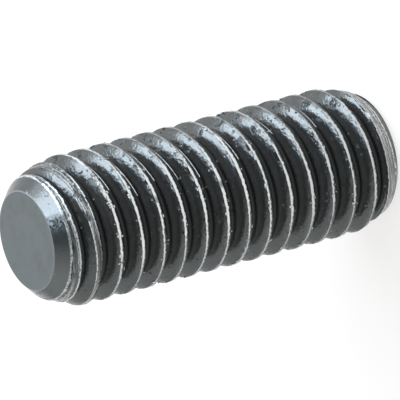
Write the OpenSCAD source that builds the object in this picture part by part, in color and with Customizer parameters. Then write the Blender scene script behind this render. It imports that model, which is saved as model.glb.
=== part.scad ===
// Hexagon-socket set screw with a flat point, threaded along its whole length.
// It stands on its socket end: z = 0 is the ring around the socket's mouth, and
// +Z runs along the axis to the flat end.

/* [Thread] */
// Diameter over the crests
thread_d = 6; // [5:0.1:8]
// Distance from one crest to the next
pitch = 1; // [0.75:0.05:1.25]
// Angle between the two flanks of a groove
flank_angle = 60; // [50:1:70]
// Width of the crest's flat, as a share of the pitch
crest_share = 0.125; // [0.08:0.005:0.2]
// Width of the groove's floor, as a share of the pitch
root_share = 0.167; // [0.1:0.001:0.25]
// Angle about the axis at which a crest meets the plane of the flat end
thread_start = 72; // [0:6:354]

/* [Ends] */
// Length from the socket's ring to the flat end
screw_l = 16; // [8:0.5:24]
// Diameter of the flat end
flat_end_d = 4; // [3:0.1:5]
// Length of the flat end's chamfer along the axis
flat_end_chamfer = 0.5; // [0.3:0.05:0.9]
// Length behind that chamfer over which the crests grow to their full height
flat_end_lead = 1.3; // [0.5:0.1:3]
// Distance of the socket ring's edge inside the crests
ring_inset = 0.65; // [0.3:0.05:0.7]
// Length of the socket end's chamfer along the axis
ring_chamfer = 0.25; // [0.1:0.05:0.5]
// Length behind that chamfer over which the crests grow to their full height
ring_lead = 1.3; // [0.5:0.1:3]
// Angle between both chamfers and the axis
chamfer_angle = 45; // [30:1:55]

/* [Socket] */
// Width across the flats of the hexagon
socket_af = 3; // [2:0.1:3.2]
// Depth of the hexagon
socket_depth = 3.5; // [2:0.1:5]
// Width of the bevel outside the hexagon's corners
mouth_bevel = 0.1; // [0.05:0.05:0.3]
// Angle between the two sides of the mouth's bevel
mouth_angle = 120; // [90:5:140]
// Width of the step between the hexagon's flats and the drill point
drill_step = 0.1; // [0.05:0.05:0.5]
// Angle between the two sides of the drill point
drill_angle = 118; // [90:1:140]

/* [Hidden] */

black_oxide = [0.2, 0.21, 0.23];
clearance = 0.05;
overrun = 0.5;
turn_steps = 60;
spare_turns = 1;
hexagon_sides = 6;

thread_r = thread_d / 2;
crest_w = pitch * crest_share;
root_w = pitch * root_share;
flank_w = (pitch - crest_w - root_w) / 2;
thread_depth = flank_w / tan(flank_angle / 2);
root_r = thread_r - thread_depth;

// Radius and height of one ridge's corners, from the root below to the root above
ridge = [
  [root_r, -crest_w / 2 - flank_w],
  [thread_r, -crest_w / 2],
  [thread_r, crest_w / 2],
  [root_r, crest_w / 2 + flank_w]
];
corners = len(ridge);

// The ridge runs past both ends of the blank, which then cuts it
turns_below = ceil(screw_l / pitch) + spare_turns;
last_step = (turns_below + spare_turns) * turn_steps;
step_angle = 360 / turn_steps;
step_rise = pitch / turn_steps;
first_z = screw_l - pitch * turns_below;

blank_r = thread_r + clearance;
flat_end_r = flat_end_d / 2;
ring_r = thread_r - ring_inset;
lead_r = flat_end_r + flat_end_chamfer * tan(chamfer_angle);
ring_lead_r = ring_r + ring_chamfer * tan(chamfer_angle);

corner_r = socket_af / 2 / cos(180 / hexagon_sides);
mouth_r = corner_r + mouth_bevel;
mouth_h = mouth_r / tan(mouth_angle / 2);
drill_r = socket_af / 2 - drill_step;
drill_h = drill_r / tan(drill_angle / 2);

// Corners of the ridge at one step along the helix
function section(step) = [
  for (corner = ridge)
    [
      corner[0] * cos(thread_start + step_angle * step),
      corner[0] * sin(thread_start + step_angle * step),
      first_z + step_rise * step + corner[1]
    ]
];

// Number of one corner in the list of points
function at(step, corner) = step * corners + corner;

// Two triangles between an edge and the edge above it, one step wide
function patch(low, low_next, high, high_next) = [
  [low, high, high_next],
  [low, high_next, low_next]
];

// Triangles that join one point on the axis to a chain of points
function fan(centre, chain) = [
  for (i = [1 : len(chain) - 1])
    [centre, chain[i - 1], chain[i]]
];

// Solid bar with the thread on it, longer than the screw at both ends
module threaded_bar() {
  last = last_step;
  foot = (last + 1) * corners;
  head = foot + 1;
  points = [
    for (step = [0 : last])
      each section(step),
    [0, 0, first_z],
    [0, 0, first_z + step_rise * last]
  ];
  ridge_faces = [
    for (step = [0 : last - 1], c = [0 : corners - 2])
      each patch(at(step, c), at(step + 1, c), at(step, c + 1), at(step + 1, c + 1))
  ];
  groove_faces = [
    for (step = [0 : last - turn_steps - 1])
      let (above = step + turn_steps)
      each patch(
        at(step, corners - 1),
        at(step + 1, corners - 1),
        at(above, 0),
        at(above + 1, 0)
      )
  ];
  foot_chain = [
    for (c = [0 : corners - 1])
      at(0, corners - 1 - c),
    for (step = [1 : turn_steps])
      at(step, 0),
    at(0, corners - 1)
  ];
  head_chain = [
    for (c = [0 : corners - 1])
      at(last, c),
    for (step = [1 : turn_steps])
      at(last - step, corners - 1),
    at(last, 0)
  ];
  polyhedron(
    points = points,
    faces = concat(ridge_faces, groove_faces, fan(foot, foot_chain), fan(head, head_chain))
  );
}

// Bar with both ends chamfered and tapered, a clearance thicker than the thread
module blank() {
  rotate_extrude($fn = turn_steps)
    polygon([
      [0, 0],
      [ring_r, 0],
      [ring_lead_r, ring_chamfer],
      [blank_r, ring_chamfer + ring_lead],
      [blank_r, screw_l - flat_end_chamfer - flat_end_lead],
      [lead_r, screw_l - flat_end_chamfer],
      [flat_end_r, screw_l],
      [0, screw_l]
    ]);
}

// Hexagon, the bevel around its mouth and the drill point at its bottom
module socket() {
  translate([0, 0, -overrun])
    cylinder(h = socket_depth + overrun, r = corner_r, $fn = hexagon_sides);
  rotate_extrude($fn = turn_steps)
    polygon([
      [0, -overrun],
      [mouth_r + overrun * tan(mouth_angle / 2), -overrun],
      [0, mouth_h]
    ]);
  rotate_extrude($fn = turn_steps)
    polygon([
      [0, socket_depth - overrun],
      [drill_r, socket_depth - overrun],
      [drill_r, socket_depth],
      [0, socket_depth + drill_h]
    ]);
}

module set_screw() {
  color(black_oxide)
    difference() {
      intersection() {
        threaded_bar();
        blank();
      }
      socket();
    }
}

set_screw();
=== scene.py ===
import math
import random
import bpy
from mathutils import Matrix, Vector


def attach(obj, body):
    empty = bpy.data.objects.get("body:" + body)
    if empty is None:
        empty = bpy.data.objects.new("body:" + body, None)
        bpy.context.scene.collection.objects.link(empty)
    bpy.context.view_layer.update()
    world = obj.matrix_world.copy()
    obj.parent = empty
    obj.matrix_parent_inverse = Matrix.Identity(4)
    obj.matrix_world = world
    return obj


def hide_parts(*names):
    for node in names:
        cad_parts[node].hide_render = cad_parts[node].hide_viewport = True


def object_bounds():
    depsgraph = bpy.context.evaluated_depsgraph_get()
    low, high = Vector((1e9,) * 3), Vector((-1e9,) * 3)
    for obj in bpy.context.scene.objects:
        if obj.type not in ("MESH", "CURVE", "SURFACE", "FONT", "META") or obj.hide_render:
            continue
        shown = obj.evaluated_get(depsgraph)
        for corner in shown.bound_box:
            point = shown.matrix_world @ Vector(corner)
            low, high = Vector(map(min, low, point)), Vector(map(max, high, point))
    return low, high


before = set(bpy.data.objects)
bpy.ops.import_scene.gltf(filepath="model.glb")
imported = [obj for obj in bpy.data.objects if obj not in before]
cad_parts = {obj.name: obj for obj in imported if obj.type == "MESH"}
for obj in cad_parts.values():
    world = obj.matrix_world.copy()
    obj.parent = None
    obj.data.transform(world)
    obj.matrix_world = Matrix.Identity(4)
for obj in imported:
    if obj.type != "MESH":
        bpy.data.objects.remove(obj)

from types import SimpleNamespace
import bpy
import bmesh
from mathutils import Matrix, Vector, noise

# A set screw, dressed for a close picture. Sizes are in millimetres and are
# turned into metres when a mesh is finished.
mm = 0.001
weldGap = 0.001  # corners nearer than this are joined
cadLow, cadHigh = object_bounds()
screwLength = (cadHigh.z - cadLow.z) / mm
crestRadius = (cadHigh.x - cadLow.x) / 2 / mm
print("screw", round(screwLength, 3), "long,", round(crestRadius * 2, 3), "across")


# Camera

view = {
    "lens": 800,
    "sensor": 36,
    "frameWidth": 15.82,  # what the frame spans at the screw
    "tilt": 59.6,         # between the screw's axis and the line of sight
    "roll": 14.55,        # slope of the screw's axis in the picture
    "aimHeight": 7.945,   # point of the axis that lies at aimPixel
    "aimPixel": (198.7, 196.3),
    "frameSize": 400,
    "clip": (0.01, 3),    # in metres
}


def addCamera():
    # seen from the side of -Y: the picture's right is towards the socket, its top towards +X
    tilt = math.radians(view["tilt"])
    roll = math.radians(view["roll"])
    toCamera = Vector((0, -math.sin(tilt), math.cos(tilt)))
    toSocket = Vector((0, -math.cos(tilt), -math.sin(tilt)))
    across = Vector((1, 0, 0))
    right = math.cos(roll) * toSocket - math.sin(roll) * across
    up = math.sin(roll) * toSocket + math.cos(roll) * across
    pixel = view["frameWidth"] / view["frameSize"]
    half = view["frameSize"] / 2
    offX = (half - view["aimPixel"][0]) * pixel
    offY = (half - view["aimPixel"][1]) * pixel
    aim = Vector((0, 0, view["aimHeight"])) + right * offX - up * offY
    distance = view["frameWidth"] * view["lens"] / view["sensor"]
    data = bpy.data.cameras.new("camera")
    data.lens = view["lens"]
    data.sensor_width = view["sensor"]
    data.clip_start, data.clip_end = view["clip"]
    camera = bpy.data.objects.new("camera", data)
    bpy.context.scene.collection.objects.link(camera)
    turn = Matrix((right, up, toCamera)).transposed().to_4x4()
    camera.matrix_world = Matrix.Translation((aim + toCamera * distance) * mm) @ turn
    bpy.context.scene.camera = camera


# Shader maths on sockets

class Signal:
    def __init__(self, shader, socket):
        self.shader = shader
        self.socket = socket

    def math(self, operation, *others):
        made = self.shader.node("ShaderNodeMath", {"operation": operation})
        for place, value in enumerate((self, *others)):
            self.shader.plug(made.inputs[place], value)
        return Signal(self.shader, made.outputs[0])

    def __add__(self, other):
        return self.math("ADD", other)

    def __sub__(self, other):
        return self.math("SUBTRACT", other)

    def __rsub__(self, other):
        return self.math("MULTIPLY", -1).math("ADD", other)

    def __mul__(self, other):
        return self.math("MULTIPLY", other)

    def __truediv__(self, other):
        return self.math("DIVIDE", other)

    __radd__ = __add__
    __rmul__ = __mul__

    def max(self, other):
        return self.math("MAXIMUM", other)

    def min(self, other):
        return self.math("MINIMUM", other)

    def ramp(self, low, high):
        # 0 below low, 1 above high, smooth between; low may be above high
        made = self.shader.node("ShaderNodeMapRange", {"interpolation_type": "SMOOTHSTEP"},
                                {"Value": self, "From Min": low, "From Max": high})
        return Signal(self.shader, made.outputs[0])

    def band(self, low, high, soft):
        # 0 outside low and high, 1 between them, with soft edges inside
        return self.ramp(low, low + soft) * self.ramp(high, high - soft)


class Shader:
    def __init__(self, owner):
        # the owner is a material or a world
        self.owner = owner
        owner.use_nodes = True
        self.tree = owner.node_tree
        self.tree.nodes.clear()

    def plug(self, entry, value):
        if isinstance(value, Signal):
            self.tree.links.new(value.socket, entry)
        elif isinstance(value, tuple):
            entry.default_value = (*value, 1)  # a colour is written without its alpha
        else:
            entry.default_value = value

    def node(self, kind, settings=None, inputs=None):
        made = self.tree.nodes.new(kind)
        for name, value in (settings or {}).items():
            setattr(made, name, value)
        for name, value in (inputs or {}).items():
            self.plug(made.inputs[name], value)
        return made

    def out(self, kind, settings=None, inputs=None, output=0):
        return Signal(self, self.node(kind, settings, inputs).outputs[output])

    def mix(self, factor, first, second):
        # the colour mix has its factor at 0, its colours at 6 and 7 and its result at 2
        made = self.node("ShaderNodeMix", {"data_type": "RGBA"})
        self.plug(made.inputs[0], factor)
        self.plug(made.inputs[6], first)
        self.plug(made.inputs[7], second)
        return Signal(self, made.outputs[2])

    def axes(self, vector):
        parts = self.node("ShaderNodeSeparateXYZ", {}, {"Vector": vector})
        return [Signal(self, part) for part in parts.outputs]

    def noise(self, place, scale, detail, rough=0.5):
        return self.out("ShaderNodeTexNoise", {}, {
            "Vector": place, "Scale": scale, "Detail": detail, "Roughness": rough})

    def attribute(self, name):
        return self.out("ShaderNodeAttribute", {"attribute_name": name}, output="Fac")

    def dots(self, place, scale, channel):
        # distance to the nearest of scattered points, and a random number that each point has
        cells = self.node("ShaderNodeTexVoronoi", {}, {"Vector": place, "Scale": scale, "Randomness": 1})
        chance = self.out("ShaderNodeSeparateColor", {}, {"Color": Signal(self, cells.outputs["Color"])},
                          output=channel)
        return Signal(self, cells.outputs["Distance"]), chance

    def finish(self, surface):
        kind = "ShaderNodeOutputMaterial"
        if isinstance(self.owner, bpy.types.World):
            kind = "ShaderNodeOutputWorld"
        self.node(kind, {}, {"Surface": surface})
        return self.owner


# Meshes

def chain(bm, points):
    # wire of edges through points given as (radius, height)
    verts = [bm.verts.new((p.x, 0, p.y)) for p in points]
    edges = [bm.edges.new(pair) for pair in zip(verts, verts[1:])]
    return verts, edges


def arcThrough(before, corner, after, reach, count):
    # a short curve in place of a corner, from reach before it to reach after it
    start = corner + (before - corner).normalized() * reach
    end = corner + (after - corner).normalized() * reach
    points = []
    for i in range(count + 1):
        t = i / count
        points.append(start * (1 - t) ** 2 + corner * 2 * t * (1 - t) + end * t ** 2)
    return points


def makeTurned(points, steps):
    # solid of revolution from an outline that starts and ends on the axis
    bm = bmesh.new()
    verts, edges = chain(bm, [Vector(p) for p in points])
    bmesh.ops.spin(bm, geom=verts + edges, cent=(0, 0, 0), axis=(0, 0, 1), angle=math.tau,
                   steps=steps, use_merge=True)
    bmesh.ops.remove_doubles(bm, verts=bm.verts, dist=weldGap)
    bmesh.ops.recalc_face_normals(bm, faces=bm.faces)
    return bm


def toObject(bm, name):
    mesh = bpy.data.meshes.new(name)
    bm.to_mesh(mesh)
    bm.free()
    made = bpy.data.objects.new(name, mesh)
    bpy.context.scene.collection.objects.link(made)
    return made


def cutWith(target, cutter, operation):
    # applies one boolean and throws the cutter away
    tool = target.modifiers.new("cut", "BOOLEAN")
    tool.operation = operation
    tool.solver = "MANIFOLD"
    tool.object = cutter
    shaped = bpy.data.meshes.new_from_object(target.evaluated_get(bpy.context.evaluated_depsgraph_get()))
    target.modifiers.clear()
    target.data = shaped
    bpy.data.objects.remove(cutter)


def dropLoose(mesh):
    # deletes slivers that the cuts left hanging free of the screw
    bm = bmesh.new()
    bm.from_mesh(mesh)
    for v in bm.verts:
        v.tag = False
    front = [min(bm.verts, key=lambda v: v.co.z)]
    front[0].tag = True
    while front:
        for edge in front.pop().link_edges:
            for v in edge.verts:
                if not v.tag:
                    v.tag = True
                    front.append(v)
    loose = [v for v in bm.verts if not v.tag]
    print("loose:", len(loose), "corners dropped")
    bmesh.ops.delete(bm, geom=loose, context="VERTS")
    bm.to_mesh(mesh)
    bm.free()


# Blank: the bar with both ends chamfered and tapered

blank = {
    "flatRadius": 2.0,
    "flatChamfer": 0.5,
    "flatLead": 1.3,      # length over which the crests grow to their full height
    "ringRadius": 2.35,
    "ringChamfer": 0.25,
    "ringLead": 1.3,
    "clearance": 0.05,
    "underCut": 0.012,    # keeps the crests inside the blank where both taper
    "rounding": 0.03,
    "steps": 192,
}


def makeBlank():
    b = blank
    outer = crestRadius + b["clearance"]
    corners = [
        Vector((0, 0)),
        Vector((b["ringRadius"], 0)),
        Vector((b["ringRadius"] + b["ringChamfer"], b["ringChamfer"])),
        Vector((outer, b["ringChamfer"] + b["ringLead"])),
        Vector((outer, screwLength - b["flatChamfer"] - b["flatLead"])),
        Vector((b["flatRadius"] + b["flatChamfer"], screwLength - b["flatChamfer"])),
        Vector((b["flatRadius"], screwLength)),
        Vector((0, screwLength)),
    ]
    points = [corners[0]]
    for before, corner, after in zip(corners, corners[1:], corners[2:]):
        # a point beside each arc keeps the faces between the corners flat
        points.append(corner + (before - corner).normalized() * b["rounding"] * 2)
        points += arcThrough(before, corner, after, b["rounding"], 3)
        points.append(corner + (after - corner).normalized() * b["rounding"] * 2)
    points.append(corners[-1])
    return makeTurned(points, b["steps"])


# Thread

thread = {
    "pitch": 1.0,
    "crestRadius": 2.985,
    "rootRadius": 2.387,
    "crestWidth": 0.125,
    "rootWidth": 0.167,
    "flankSlope": math.tan(math.radians(30)),
    "startAngle": 72,        # where a crest meets the plane of the flat end
    "turnSteps": 192,
    "turnWeld": 0.004,       # joins each turn to the next
    "flankCuts": 4,
    "flankBulge": 0.018,     # on the flank towards the flat end
    "seamDepth": 0.003,      # groove along the crest's middle
    "seamWidth": 0.04,
    "rootRounding": 0.072,
    "edgeRounding": 0.02,
    "leastRise": 0.02,       # of a crest over the root, where the blank tapers most
    "sag": 0.12,             # hollow of a crest, as a share of the height that it lacks
    "lipWidth": 0.1,         # bright metal on each lip where the crest isn't full
    "lipFade": 0.06,         # widening of half the crest at which it no longer counts as full
    "nickDepth": 0.035,
    "nickLimit": 0.25,       # noise above this cuts a nick
    "grit": 0.006,
    "wander": 0.045,         # sideways, of the crest's edges
    "overChamfer": 0.15,     # lifts the ridge there, so that the blank alone cuts it
    "chamferLead": 0.05,     # how far before the chamfer that starts
    "chamferFade": 0.08,
    "standOut": 0.012,       # at most, past the full crest
    "sharpAngle": 38,
}


def fullRadius(height):
    # how far out the metal was pushed at this height: less near both ends
    fromFlat = screwLength - height
    flatStart = blank["flatRadius"] + blank["flatChamfer"]
    ringStart = blank["ringRadius"] + blank["ringChamfer"]
    outer = thread["crestRadius"] + blank["clearance"]
    nearFlat = flatStart + (fromFlat - blank["flatChamfer"]) * (outer - flatStart) / blank["flatLead"]
    nearRing = ringStart + (height - blank["ringChamfer"]) * (outer - ringStart) / blank["ringLead"]
    least = thread["rootRadius"] + thread["leastRise"]
    under = blank["underCut"]
    return max(least, min(thread["crestRadius"], nearFlat - under, nearRing - under))


def threadProfile():
    # one ridge with half a root on each side, from below to above
    t = thread
    half = t["pitch"] / 2
    crest = t["crestRadius"]
    root = t["rootRadius"]
    corners = [
        Vector((root, -half)),
        Vector((root, -half + t["rootWidth"] / 2)),
        Vector((crest, -t["crestWidth"] / 2)),
        Vector((crest, -t["seamWidth"] / 2)),
        Vector((crest - t["seamDepth"], 0)),
        Vector((crest, t["seamWidth"] / 2)),
        Vector((crest, t["crestWidth"] / 2)),
        Vector((root, half - t["rootWidth"] / 2)),
        Vector((root, half)),
    ]
    points = [corners[0]]
    for before, corner, after in zip(corners, corners[1:], corners[2:]):
        if abs(corner.y) > t["crestWidth"]:
            points += arcThrough(before, corner, after, t["rootRounding"], 4)
        elif corner.y > t["seamWidth"]:
            points += arcThrough(before, corner, after, t["edgeRounding"], 2)
        elif corner.y < -t["seamWidth"]:
            # the edge towards the socket stays sharp
            points += [corner, corner + (after - corner).normalized() * t["edgeRounding"]]
        else:
            points.append(corner)
    points.append(corners[-1])
    return points


def waver(direction, around, height, along, shift=0):
    # smooth noise with one scale around the screw and another along it
    return noise.noise(direction * around + Vector((0, shift, height * along)))


def shapeRidge(bm):
    # fits the ridge under the height the metal reached, and roughens it
    t = thread
    wear = bm.verts.layers.float.new("wear")   # full crests
    scar = bm.verts.layers.float.new("scar")   # tops of the crests that aren't full
    lips = bm.verts.layers.float.new("lips")   # lips of those crests
    crestHalf = t["crestWidth"] / 2
    rootHalf = t["pitch"] / 2 - t["rootWidth"] / 2
    fullRise = t["crestRadius"] - t["rootRadius"]
    chamferStart = screwLength - blank["flatChamfer"] - t["chamferLead"]
    for v in bm.verts:
        radius = math.hypot(v.co.x, v.co.y)
        angle = math.degrees(math.atan2(v.co.y, v.co.x)) - t["startAngle"]
        turn = (v.co.z - screwLength) / t["pitch"] - angle / 360
        away = (turn - round(turn)) * t["pitch"]  # height above the middle of the nearest crest
        middle = v.co.z - away
        direction = Vector((v.co.x, v.co.y, 0)) / radius
        reach = fullRadius(v.co.z)
        lack = t["crestRadius"] - reach
        topHalf = crestHalf + lack * t["flankSlope"]
        share = min(abs(away) / crestHalf, 1)
        if abs(away) <= crestHalf + weldGap:
            away *= topHalf / crestHalf
            lip = max(0, 1 - (topHalf - abs(away)) / t["lipWidth"])
            full = max(0, 1 - (topHalf - crestHalf) / t["lipFade"])
            v[wear] = full
            v[lips] = lip * (1 - full)
            v[scar] = (1 - full) * (1 - lip)
            dip = t["crestRadius"] - radius + lack * t["sag"] * (1 - share ** 2)
            radius = fullRadius(middle + away) - dip * (1 + waver(direction, 9, middle, 0.6))
            nick = max(0, waver(direction, 17, middle, 5) - t["nickLimit"])
            radius -= nick * t["nickDepth"] + t["grit"] * abs(waver(direction, 40, middle, 3))
            onChamfer = min(1, max(0, (middle + away - chamferStart) / t["chamferFade"]))
            radius += t["overChamfer"] * onChamfer
            away += t["wander"] * waver(direction, 26, middle, 4, shift=3) * share
        elif abs(away) < rootHalf:
            along = (rootHalf - abs(away)) / (rootHalf - crestHalf)
            side = math.copysign(1, away)
            away = side * (rootHalf + (topHalf - rootHalf) * along)
            away += t["flankBulge"] * math.sin(math.pi * along ** 1.5) * (side > 0)
            radius = t["rootRadius"] + (radius - t["rootRadius"]) * (reach - t["rootRadius"]) / fullRise
            radius += t["grit"] * waver(direction, 12, middle, 2)
        radius = min(radius, t["crestRadius"] + t["standOut"])
        v.co = direction * radius + Vector((0, 0, middle + away))


def makeThread():
    t = thread
    turns = math.ceil(screwLength / t["pitch"]) + 2
    bm = bmesh.new()
    edges = chain(bm, threadProfile())[1]
    flankLength = (t["crestRadius"] - t["rootRadius"]) * 2 / 3
    flanks = [e for e in edges if (e.verts[0].co - e.verts[1].co).length > flankLength]
    bmesh.ops.subdivide_edges(bm, edges=flanks, cuts=t["flankCuts"])
    bmesh.ops.spin(bm, geom=bm.verts[:] + bm.edges[:], cent=(0, 0, 0), axis=(0, 0, 1),
                   dvec=(0, 0, t["pitch"] / t["turnSteps"]), angle=math.tau,
                   steps=t["turnSteps"], use_merge=False)
    oneTurn = bm.verts[:] + bm.edges[:] + bm.faces[:]
    for turn in range(1, turns):
        copied = bmesh.ops.duplicate(bm, geom=oneTurn)["geom"]
        moved = [v for v in copied if isinstance(v, bmesh.types.BMVert)]
        bmesh.ops.translate(bm, verts=moved, vec=(0, 0, turn * t["pitch"]))
    bmesh.ops.remove_doubles(bm, verts=bm.verts, dist=t["turnWeld"])
    lift = Matrix.Translation((0, 0, screwLength - (turns - 1) * t["pitch"]))
    bm.transform(Matrix.Rotation(math.radians(t["startAngle"]), 4, "Z") @ lift)
    shapeRidge(bm)
    # both ends are closed to a point on the axis, outside the blank
    rim = [e for e in bm.edges if e.is_boundary]
    made = bmesh.ops.extrude_edge_only(bm, edges=rim)["geom"]
    tips = [v for v in made if isinstance(v, bmesh.types.BMVert)]
    low = [v for v in tips if v.co.z < screwLength / 2]
    high = [v for v in tips if v.co.z > screwLength / 2]
    bmesh.ops.pointmerge(bm, verts=low, merge_co=(0, 0, min(v.co.z for v in low)))
    bmesh.ops.pointmerge(bm, verts=high, merge_co=(0, 0, max(v.co.z for v in high)))
    bmesh.ops.recalc_face_normals(bm, faces=bm.faces)
    return bm


# Burrs: slivers, hairs and chips of metal on the crests' edges

burrs = {
    "seed": 11,
    "freeTurns": 2,            # at each end, without slivers or chips
    "slivers": 210,
    "width": (0.030, 0.065),
    "length": (0.12, 0.28),
    "tip": 0.3,                # of the width
    "leanUp": (10, 70),        # degrees from the axis, outwards, of those that point to the flat end
    "leanDown": (110, 170),
    "swing": (-50, 50),
    "sink": (0.01, 0.05),      # into the crest
    # hairs of folded metal: turns below the flat end, first and last angle, drift along the axis
    "hairs": ((2.5, 52, 22, 0.15), (3.5, 48, 12, 0.21), (4.5, 55, 20, 0.20), (5.5, 50, 16, 0.23),
              (6.5, 46, 14, 0.17), (8.5, 52, 20, 0.16), (10.5, 58, 34, 0.18), (12.5, 62, 30, 0.14)),
    "hairWidth": 0.015,
    "hairSink": 0.012,
    "hairDrop": 0.05,          # of a hair's start below the crest's middle
    "hairSteps": 12,
    "chips": 140,
    "chipRadius": (0.035, 0.075),
    "chipSink": 0.03,
    "chipOff": (0.05, 0.09),   # from the crest's middle
    "chipThick": 0.7,          # of the radius
    "chipLump": 0.7,           # how uneven, as a share of the radius
    "chipStretch": (0.8, 2.2),
    "crumbs": 34,              # of the chips, those that lie close together behind the flat end
    "crumbAngle": (5, 42),
    "crumbTurns": (0.9, 3.2),
    "inside": 0.003,           # least distance inside the CAD's crests
}


def crestPhase(angle):
    # turns about the axis from the crest's start, for an angle from the camera's side
    return (angle - 90 - thread["startAngle"]) / 360


def crestHeight(angle, turns):
    # height of the crest's middle at that angle, near so many turns below the flat end
    lift = crestPhase(angle)
    return screwLength + (lift - round(lift + turns)) * thread["pitch"]


def swungTo(angle):
    # takes a piece from X to an angle from the camera's side
    return Matrix.Rotation(math.radians(angle - 90), 4, "Z")


def anyPlace(rng):
    # angle, and turns below the flat end
    last = screwLength / thread["pitch"] - burrs["freeTurns"]
    return rng.uniform(0, 360), rng.uniform(burrs["freeTurns"], last)


def addSlivers(bm, rng):
    # cones that lean out of the crest's edges, two of three towards the flat end
    b = burrs
    for _ in range(b["slivers"]):
        angle, turns = anyPlace(rng)
        side = rng.choice((-1, 1, 1))
        length = rng.uniform(*b["length"])
        width = rng.uniform(*b["width"])
        made = bmesh.ops.create_cone(bm, cap_ends=True, segments=6, radius1=width,
                                     radius2=width * b["tip"], depth=length)["verts"]
        lean = rng.uniform(*b["leanUp"])
        if side < 0:
            lean = rng.uniform(*b["leanDown"])
        leaning = Matrix.Rotation(math.radians(lean), 4, "Y")
        swinging = Matrix.Rotation(math.radians(rng.uniform(*b["swing"])), 4, "X")
        out = thread["crestRadius"] - rng.uniform(*b["sink"])
        height = crestHeight(angle, turns) + side * thread["crestWidth"] / 2
        spot = Matrix.Translation((out, 0, height))
        bmesh.ops.transform(bm, matrix=swungTo(angle) @ spot @ leaning @ swinging, verts=made)


def addHairs(bm):
    # thin threads that leave the crest's edge at a slant
    b = burrs
    stand = Matrix.Rotation(math.radians(90), 4, "X")
    for turns, first, last, drift in b["hairs"]:
        ring = bmesh.ops.create_circle(bm, cap_ends=True, segments=5, radius=b["hairWidth"])["verts"]
        spot = Matrix.Translation((thread["crestRadius"] - b["hairSink"], 0,
                                   crestHeight(first, turns) - b["hairDrop"]))
        bmesh.ops.transform(bm, matrix=swungTo(first) @ spot @ stand, verts=ring)
        faces = {f for v in ring for f in v.link_faces}
        edges = {e for v in ring for e in v.link_edges}
        rise = thread["pitch"] * (last - first) / 360 - drift
        bmesh.ops.spin(bm, geom=[*ring, *edges, *faces], cent=(0, 0, 0), axis=(0, 0, 1),
                       dvec=(0, 0, rise / b["hairSteps"]), angle=math.radians(last - first),
                       steps=b["hairSteps"])


def addChips(bm, rng):
    # lumps along the crest's edges, three of four on the side of the flat end
    b = burrs
    for i in range(b["chips"]):
        angle, turns = anyPlace(rng)
        if i < b["crumbs"]:
            angle = rng.uniform(*b["crumbAngle"])
            turns = rng.uniform(*b["crumbTurns"])
        height = crestHeight(angle, turns)
        side = rng.choice((-1, 1, 1, 1))
        radius = rng.uniform(*b["chipRadius"])
        made = bmesh.ops.create_icosphere(bm, subdivisions=1, radius=radius)["verts"]
        for v in made:
            v.co *= 1 + b["chipLump"] * noise.noise(v.co * 30 + Vector((i, 0, 0)))
        stretch = Matrix.Diagonal((b["chipThick"], rng.uniform(*b["chipStretch"]), 1, 1))
        spot = Matrix.Translation((fullRadius(height) - b["chipSink"], 0,
                                   height + side * rng.uniform(*b["chipOff"])))
        bmesh.ops.transform(bm, matrix=swungTo(angle) @ spot @ stretch, verts=made)


def makeBurrs():
    rng = random.Random(burrs["seed"])
    bm = bmesh.new()
    addSlivers(bm, rng)
    addHairs(bm)
    addChips(bm, rng)
    wear = bm.verts.layers.float.new("wear")
    bm.verts.layers.float.new("scar")
    lips = bm.verts.layers.float.new("lips")
    for v in bm.verts:
        v[wear] = 1
        v[lips] = 1
        shrink = min(1, (crestRadius - burrs["inside"]) / math.hypot(v.co.x, v.co.y))
        v.co.x *= shrink
        v.co.y *= shrink
    bmesh.ops.recalc_face_normals(bm, faces=bm.faces)
    print("burrs:", len(bm.faces), "faces,", len([e for e in bm.edges if not e.is_manifold]), "open edges")
    return bm


# Socket

hexSocket = {
    "acrossFlats": 3.0,
    "depth": 3.5,
    "cornerRounding": 0.06,
    "mouthBevel": 0.1,       # outside the hexagon's corners
    "mouthSlope": math.tan(math.radians(60)),
    "drillStep": 0.1,
    "drillSlope": math.tan(math.radians(59)),
    "overrun": 0.5,          # of the cutters past what they cut
    "steps": 96,
}


def hexCorner():
    return hexSocket["acrossFlats"] / 2 / math.cos(math.radians(30))


def makePrism():
    h = hexSocket
    corner = hexCorner()
    height = h["depth"] + h["overrun"]
    bm = bmesh.new()
    bmesh.ops.create_cone(bm, cap_ends=True, segments=6, radius1=corner, radius2=corner, depth=height)
    # the cone starts its first corner on Y, the hexagon in the screw on X
    turn = Matrix.Rotation(math.radians(30), 4, "Z")
    bm.transform(Matrix.Translation((0, 0, height / 2 - h["overrun"])) @ turn)
    sides = [e for e in bm.edges if abs(e.verts[0].co.z - e.verts[1].co.z) > height / 2]
    bmesh.ops.bevel(bm, geom=sides, offset=h["cornerRounding"], offset_type="OFFSET", segments=3,
                    profile=0.5, affect="EDGES", material=-1)
    return bm


def makeMouth():
    h = hexSocket
    rim = hexCorner() + h["mouthBevel"]
    wide = rim + h["overrun"] * h["mouthSlope"]
    return makeTurned([(0, -h["overrun"]), (wide, -h["overrun"]), (0, rim / h["mouthSlope"])], h["steps"])


def makeDrillPoint():
    h = hexSocket
    radius = h["acrossFlats"] / 2 - h["drillStep"]
    start = h["depth"] - h["overrun"]
    tip = h["depth"] + radius / h["drillSlope"]
    return makeTurned([(0, start), (radius, start), (radius, h["depth"]), (0, tip)], h["steps"])


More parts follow.
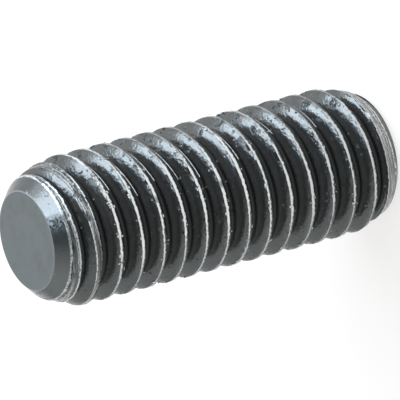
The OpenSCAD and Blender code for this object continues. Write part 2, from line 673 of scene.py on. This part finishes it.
def makeScrew():
    screw = toObject(makeThread(), "screw")
    print("thread:", len(screw.data.polygons), "faces")
    cutWith(screw, toObject(makeBurrs(), "burrs"), "UNION")
    body = toObject(makeBlank(), "blank")
    cutWith(body, toObject(makePrism(), "prism"), "DIFFERENCE")
    cutWith(body, toObject(makeMouth(), "mouth"), "DIFFERENCE")
    cutWith(body, toObject(makeDrillPoint(), "drill"), "DIFFERENCE")
    cutWith(screw, body, "INTERSECT")
    dropLoose(screw.data)
    screw.data.transform(Matrix.Scale(mm, 4))
    for face in screw.data.polygons:
        face.use_smooth = True
    screw.data.set_sharp_from_angle(angle=math.radians(thread["sharpAngle"]))
    print("screw:", len(screw.data.polygons), "faces")
    return screw


# Black oxide

oxide = {
    "colour": (0.010, 0.011, 0.011),
    "colourPale": (0.020, 0.023, 0.024),
    "bright": (0.78, 0.785, 0.78),      # bare steel
    # bright flecks: dust and painted glints
    "dustAndGlint": (0.55, 0.58, 0.60),
    "dullScaleAndPaintedShade": (0.050, 0.053, 0.055),      # scale on crests that the dies didn't reach, and painted shade on the crests' edges towards the socket
    "paintedShadeAndMarks": (0.036, 0.037, 0.037),     # painted shade in the roots and on the crests' edges towards the socket, and smudges and scrapes
    "flatEnd": (0.048, 0.066, 0.073),
    "roughness": 0.17,
    "matteRoughness": 0.40,             # on the flat end
    "wornRoughness": 0.32,
    "burrRoughness": 0.12,              # added on burrs
    "dirtRoughness": 0.35,              # added by flecks of dust and painted glints, pits, painted shade and marks, and dried oil
    "unevenRoughness": 0.12,
    "chamferRoughness": 0.03,           # added there
    "ior": 2.35,
    "grainScale": 17000,
    "fineScale": 9000,
    "broadScale": 1400,
    "slowScale": 420,
    "fleckScale": 3300,
    "oilScale": 2100,
    "bump": 0.42,
    "bumpDistance": 0.00002,
}

# heights of what the bump shows, against each other
relief = {
    "fine": 1.5,
    "broad": 2.2,
    "slow": 2,
    "pit": 1.6,
    "fleck": 0.8,
    "oil": 1.2,
    "crack": 1.2,
    "fold": 0.6,
}

# the bare band on each crest, in millimetres along the axis
bareBand = {
    "start": (-0.04, -0.01),    # from the crest's middle towards the flat end
    "sway": 0.24,
    "fray": 0.17,
    "narrower": 0.03,           # high up and low down in the picture
    "wider": 0.02,              # in the middle of it, but not near the socket
    "kept": (0.22, 0.4),        # broad noise below this keeps its oxide
}


def surfacePlaces(s):
    # millimetres about the axis, the parts of the screw, and the noises that break up its finish
    place = s.out("ShaderNodeTexCoord", output="Object")
    x, y, height = [axis / mm for axis in s.axes(place)]
    angle = x.math("ARCTAN2", y * -1) * math.degrees(1)  # 0 at the side that the camera faces
    turn = (height - screwLength) / thread["pitch"] - crestPhase(angle)
    chamferStart = screwLength - blank["flatChamfer"]
    onFlatEnd = height.ramp(screwLength - 0.02, screwLength - 0.005)
    return SimpleNamespace(
        place=place,
        x=x,
        y=y,
        height=height,
        radius=(x * x + y * y).math("SQRT"),
        away=(turn - turn.math("ROUND")) * thread["pitch"],  # from the nearest crest's middle
        onFlatEnd=onFlatEnd,
        onChamfer=height.ramp(chamferStart - 0.02, chamferStart + 0.02) - onFlatEnd,
        onThread=height.ramp(0.25, 0.45) * height.ramp(chamferStart, chamferStart - 0.1),
        grain=s.noise(place, oxide["grainScale"], 2),
        fine=s.noise(place, oxide["fineScale"], 3),
        broad=s.noise(place, oxide["broadScale"], 3),
        slow=s.noise(place, oxide["slowScale"], 2),
    )


def bareCrests(s, at, burr):
    # bare steel on the half of each full crest that faces the flat end, and on burrs
    x = at.x
    sides = x.ramp(-0.8, -2.2) + x.ramp(0.7, 1.8)
    centre = x.ramp(-1.8, -0.4) * x.ramp(1.6, 0.3) * at.height.ramp(5, 9)
    brink = at.away + (at.slow - 0.5) * bareBand["sway"] + (at.fine - 0.5) * bareBand["fray"]
    brink = brink + centre * bareBand["wider"] - sides * bareBand["narrower"]
    low = 1 - 0.4 * x.ramp(-1.4, -2.8)
    high = 1 - 0.75 * x.ramp(1.2, 2.6) * at.slow.ramp(0.7, 0.4)
    band = s.attribute("wear").ramp(0.35, 0.8) * brink.ramp(*bareBand["start"])
    band = band * at.broad.ramp(*bareBand["kept"]) * low * high
    return band.max(burr * at.fine.ramp(0.30, 0.46) * (1 - 0.8 * x.ramp(1.5, 2.5)))


def bareEdges(at):
    # bright rims of the flat end and of its chamfer
    flat = blank["flatRadius"]
    shoulder = flat + blank["flatChamfer"]
    chamferStart = screwLength - blank["flatChamfer"]
    rim = at.radius.band(flat - 0.045, flat + 0.035, 0.03)
    rim = rim * at.height.ramp(screwLength - 0.05, screwLength - 0.02)
    edge = at.radius.band(shoulder - 0.06, shoulder + 0.06, 0.04)
    edge = edge * at.height.band(chamferStart - 0.06, chamferStart + 0.06, 0.03)
    return (rim * 0.3 + edge * (0.6 + at.fine.ramp(0.45, 0.55))) * at.broad.ramp(0.25, 0.45)


def oxideMaterial():
    s = Shader(bpy.data.materials.new("blackOxideSteel"))
    at = surfacePlaces(s)
    x, height, fine, broad, slow = at.x, at.height, at.fine, at.broad, at.slow
    onThread, onChamfer, onFlatEnd = at.onThread, at.onChamfer, at.onFlatEnd
    offFlatEnd = 1 - onFlatEnd

    # fine lines along the thread on the crests that the dies didn't fill: bright folds, dark cracks
    streak = s.out("ShaderNodeCombineXYZ", {}, {"X": x * 0.35, "Y": at.y * 0.35, "Z": at.away * 22})
    lines = s.noise(streak, 1.6, 3, 0.6)
    scar = s.attribute("scar").ramp(0.1, 0.5)
    fold = lines.ramp(0.56, 0.60) * lines.ramp(0.70, 0.66) * scar
    crack = lines.ramp(0.47, 0.43) * scar
    lastTurn = scar * height.ramp(1.9, 1.2) * lines.ramp(0.42, 0.56)

    # bare steel
    burr = s.attribute("lips").ramp(0.3, 0.7)
    rubbed = scar * fine.ramp(0.56, 0.64) * x.ramp(-0.3, 0.8)
    bare = bareCrests(s, at, burr) * (0.8 + 0.2 * height.ramp(3, 8))
    bare = (bare + rubbed * 0.5 + fold * 0.9 + bareEdges(at) + lastTurn * 0.5).min(1)

    # flecks of dust and painted glints, pits, and dark specks on the flat end
    near, chance = s.dots(at.place, oxide["fleckScale"], "Red")
    # painted glints: the bright flecks stand partly for glints as well as dust, and gather towards +X, the
    # side of the lamps, away from the socket
    fleck = near.ramp(0.16, 0.09) * (chance + slow * 0.5).ramp(1.08, 1.11) * offFlatEnd
    fleck = fleck * (0.2 + 0.8 * x.ramp(-0.5, 0.6) * height.ramp(3, 6))
    pit = near.ramp(0.3, 0.18) * (1 - chance + slow * 0.5).ramp(1.02, 1.06) * offFlatEnd
    speck = near.ramp(0.22, 0.12) * chance.ramp(0.93, 0.95) * onFlatEnd

    # rings of dried oil and scraped patches high up in the picture, a smudge on the chamfer
    near, chance = s.dots(at.place, oxide["oilScale"], "Green")
    ringed = near + (fine - 0.5) * 0.5
    ring = ringed.ramp(0.05, 0.12) * ringed.ramp(0.26, 0.2) * chance.ramp(0.72, 0.74) * offFlatEnd
    scrape = broad.ramp(0.56, 0.61) * at.away.ramp(0.32, 0.24) * at.away.ramp(-0.02, 0.03)
    scrape = scrape * x.ramp(1.3, 1.9) * onThread
    oil = (ring * x.ramp(0.7, 1.2) * 0.6).max(scrape * fine.ramp(0.4, 0.5))
    smudge = onChamfer * x.band(-0.1, 0.75, 0.3) * at.y.ramp(0, -0.5) * fine.ramp(0.42, 0.56)

    # dull scale, and painted shade in the roots and on the crests' edges towards the socket
    # painted shade: the crests' edges towards the socket are drawn dark
    paintedLeeShade = at.away.ramp(0, -0.03) * at.away.ramp(-0.3, -0.2) * at.radius.ramp(2.62, 2.82) * onThread
    # painted shade: the roots are drawn darker
    root = (at.radius + (fine - 0.5) * 0.06).ramp(2.54, 2.45) * onThread
    # part of the painted shade on the crests' edges towards the socket is drawn as dull scale
    scale = scar * (0.2 + 0.8 * height.ramp(3, 2)) + paintedLeeShade * 0.585
    scale = (scale + at.grain.ramp(0.55, 0.68) * (0.4 - onChamfer * 0.3)) * offFlatEnd
    dullScaleAndPaintedShade = ((scale + smudge * 0.9) * (1 - crack)).min(0.9)
    # painted shade in the roots and on the crests' edges, with the smudge and the scrapes
    paintedShadeAndMarks = paintedLeeShade * 0.65 + root * 0.9 + smudge * 0.8 + scrape * at.grain.ramp(0.42, 0.52) * 0.8
    paintedShadeAndMarks = paintedShadeAndMarks.min(1)

    colour = s.mix(broad.ramp(0.35, 0.7), oxide["colour"], oxide["colourPale"])
    # dull scale with painted shade, then painted shade in the roots and on the crests' edges, and marks
    colour = s.mix(dullScaleAndPaintedShade, colour, oxide["dullScaleAndPaintedShade"])
    colour = s.mix(paintedShadeAndMarks, colour, oxide["paintedShadeAndMarks"])
    colour = s.mix(onFlatEnd * broad.ramp(0.1, 0.55) + onChamfer * 0.3, colour, oxide["flatEnd"])
    colour = s.mix(speck * 0.6, colour, oxide["colour"])
    colour = s.mix(fleck * 0.8, colour, oxide["dustAndGlint"])
    colour = s.mix(bare, colour, oxide["bright"])

    plain = oxide["roughness"]
    rough = plain + (fine + slow - 1) * (oxide["unevenRoughness"] - onChamfer * 0.08)
    rough = rough + onFlatEnd * (oxide["matteRoughness"] - plain) + onChamfer * oxide["chamferRoughness"]
    rough = rough + bare * (oxide["wornRoughness"] - plain) + burr * bare * oxide["burrRoughness"]
    rough = rough + (fleck + pit + paintedShadeAndMarks + oil) * oxide["dirtRoughness"]

    # the chamfer and the flat end are smoother
    bumps = fine * (relief["fine"] - onFlatEnd - onChamfer * 0.6)
    bumps = bumps + broad * (relief["broad"] - onChamfer * 1.9) + slow * relief["slow"] * (1 - onChamfer)
    bumps = bumps + fleck * relief["fleck"] - pit * relief["pit"]
    bumps = bumps - oil * relief["oil"] - crack * relief["crack"] + fold * relief["fold"]
    normal = s.out("ShaderNodeBump", {}, {
        "Height": bumps, "Strength": oxide["bump"], "Distance": oxide["bumpDistance"]})
    return s.finish(s.out("ShaderNodeBsdfPrincipled", {}, {
        "Base Color": colour,
        "Roughness": rough,
        "Metallic": (bare * 0.9).max(dullScaleAndPaintedShade).max(paintedShadeAndMarks),
        "IOR": oxide["ior"],
        "Normal": normal,
    }))


# Stage

stage = {
    "floorSize": 2.4,
    "floorGap": 0.01,                   # below the screw, in millimetres
    "floorColour": (0.80, 0.77, 0.74),
    "floorSeen": (0.42, 0.38, 0.36),    # what the camera and reflections see of it, under a white glow
    "floorGlow": 0.72,
    "white": (1, 1, 1),
    "worldLight": 0.45,
    "worldColour": (0.935, 0.985, 0.985),
    "worldDim": 0.56,                   # reflected on the side away from the lamps
    "dimEdge": (-0.3, -0.05),           # along X, as in the rows below
    "lampSideLoss": 0.15,
    "lampSideEdge": (0.15, 0.4),
    "farGain": 0.22,                    # reflected furthest on the side away from the lamps
    "farEdge": (-0.62, -0.8),
    "worldDark": 0.14,                  # reflected above the screw, beside the lamps
    "darkStart": (-0.62, -0.2),
    "darkEnd": (0.55, 0.4),
    "darkBack": (0.62, 0.35),           # along Y
    "darkHeight": (0.1, 0.5),
    "lampColour": (0.73, 0.88, 1.0),
    "lampDistance": 0.25,
}

# each lamp's direction from the screw, its width and height in metres, and the way its width lies
lamps = {
    "keyLamp": {"direction": (0.62, 0.02, 0.78), "size": (0.24, 0.12), "radiance": 4.2, "along": (0, 1, 0)},
    "lowLamp": {"direction": (0.95, 0.0, 0.3), "size": (0.2, 0.12), "radiance": 2.2, "along": (0, 1, 0)},
    "endLamp": {"direction": (0.34, -0.43, 0.84), "size": (0.08, 0.09), "radiance": 3.2,
                "along": (1, -0.45, 0)},
}


def addFloor():
    bm = bmesh.new()
    bmesh.ops.create_grid(bm, x_segments=1, y_segments=1, size=stage["floorSize"] / 2)
    bmesh.ops.translate(bm, verts=bm.verts, vec=(0, 0, -stage["floorGap"] * mm))
    floor = toObject(bm, "floor")
    s = Shader(bpy.data.materials.new("paleFloor"))
    camera = s.out("ShaderNodeLightPath", output="Is Camera Ray")
    seen = camera.max(s.out("ShaderNodeLightPath", output="Is Glossy Ray"))
    paint = s.out("ShaderNodeBsdfDiffuse", {}, {"Color": stage["floorColour"]})
    thin = s.out("ShaderNodeBsdfDiffuse", {}, {"Color": stage["floorSeen"]})
    glow = s.out("ShaderNodeEmission", {}, {"Color": stage["white"], "Strength": stage["floorGlow"]})
    pale = s.out("ShaderNodeAddShader", {}, {0: thin, 1: glow})
    floor.data.materials.append(s.finish(s.out("ShaderNodeMixShader", {}, {0: seen, 1: paint, 2: pale})))


def addWorld():
    # white to the camera; reflections also see a dark ceiling beside the lamps and a dim far side
    world = bpy.data.worlds.new("studio")
    bpy.context.scene.world = world
    s = Shader(world)
    camera = s.out("ShaderNodeLightPath", output="Is Camera Ray")
    glossy = s.out("ShaderNodeLightPath", output="Is Glossy Ray")
    x, y, z = s.axes(s.out("ShaderNodeTexCoord", output="Generated"))
    lit = stage["worldDim"] + (1 - stage["worldDim"]) * x.ramp(*stage["dimEdge"])
    lit = lit - stage["lampSideLoss"] * x.ramp(*stage["lampSideEdge"])
    lit = lit + stage["farGain"] * x.ramp(*stage["farEdge"])
    ceiling = x.ramp(*stage["darkStart"]) * x.ramp(*stage["darkEnd"])
    ceiling = ceiling * y.ramp(*stage["darkBack"]) * z.ramp(*stage["darkHeight"])
    reflected = lit + ceiling * (stage["worldDark"] - lit)
    light = stage["worldLight"] + glossy * (reflected - stage["worldLight"])
    s.finish(s.out("ShaderNodeBackground", {}, {
        "Color": s.mix(camera, stage["worldColour"], stage["white"]),
        "Strength": light + camera * (1 - light),
    }))


def addLamp(name, lamp):
    # area lamp aimed at the middle of the screw
    target = Vector((0, 0, screwLength / 2 * mm))
    back = Vector(lamp["direction"]).normalized()
    along = Vector(lamp["along"])
    right = (along - back * back.dot(along)).normalized()
    width, height = lamp["size"]
    data = bpy.data.lights.new(name, "AREA")
    data.shape = "RECTANGLE"
    data.size = width
    data.size_y = height
    data.energy = lamp["radiance"] * math.pi * width * height
    data.color = stage["lampColour"]
    made = bpy.data.objects.new(name, data)
    bpy.context.scene.collection.objects.link(made)
    turn = Matrix((right, back.cross(right), back)).transposed().to_4x4()
    made.matrix_world = Matrix.Translation(target + back * stage["lampDistance"]) @ turn
    made.visible_camera = False


addCamera()
addFloor()
addWorld()
for name, lamp in lamps.items():
    addLamp(name, lamp)
bpy.context.scene.view_settings.view_transform = "Standard"
print("stage ready")

screw = makeScrew()
screw.data.materials.clear()
screw.data.materials.append(oxideMaterial())
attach(screw, "root")
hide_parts("set_screw")
print("screw ready")
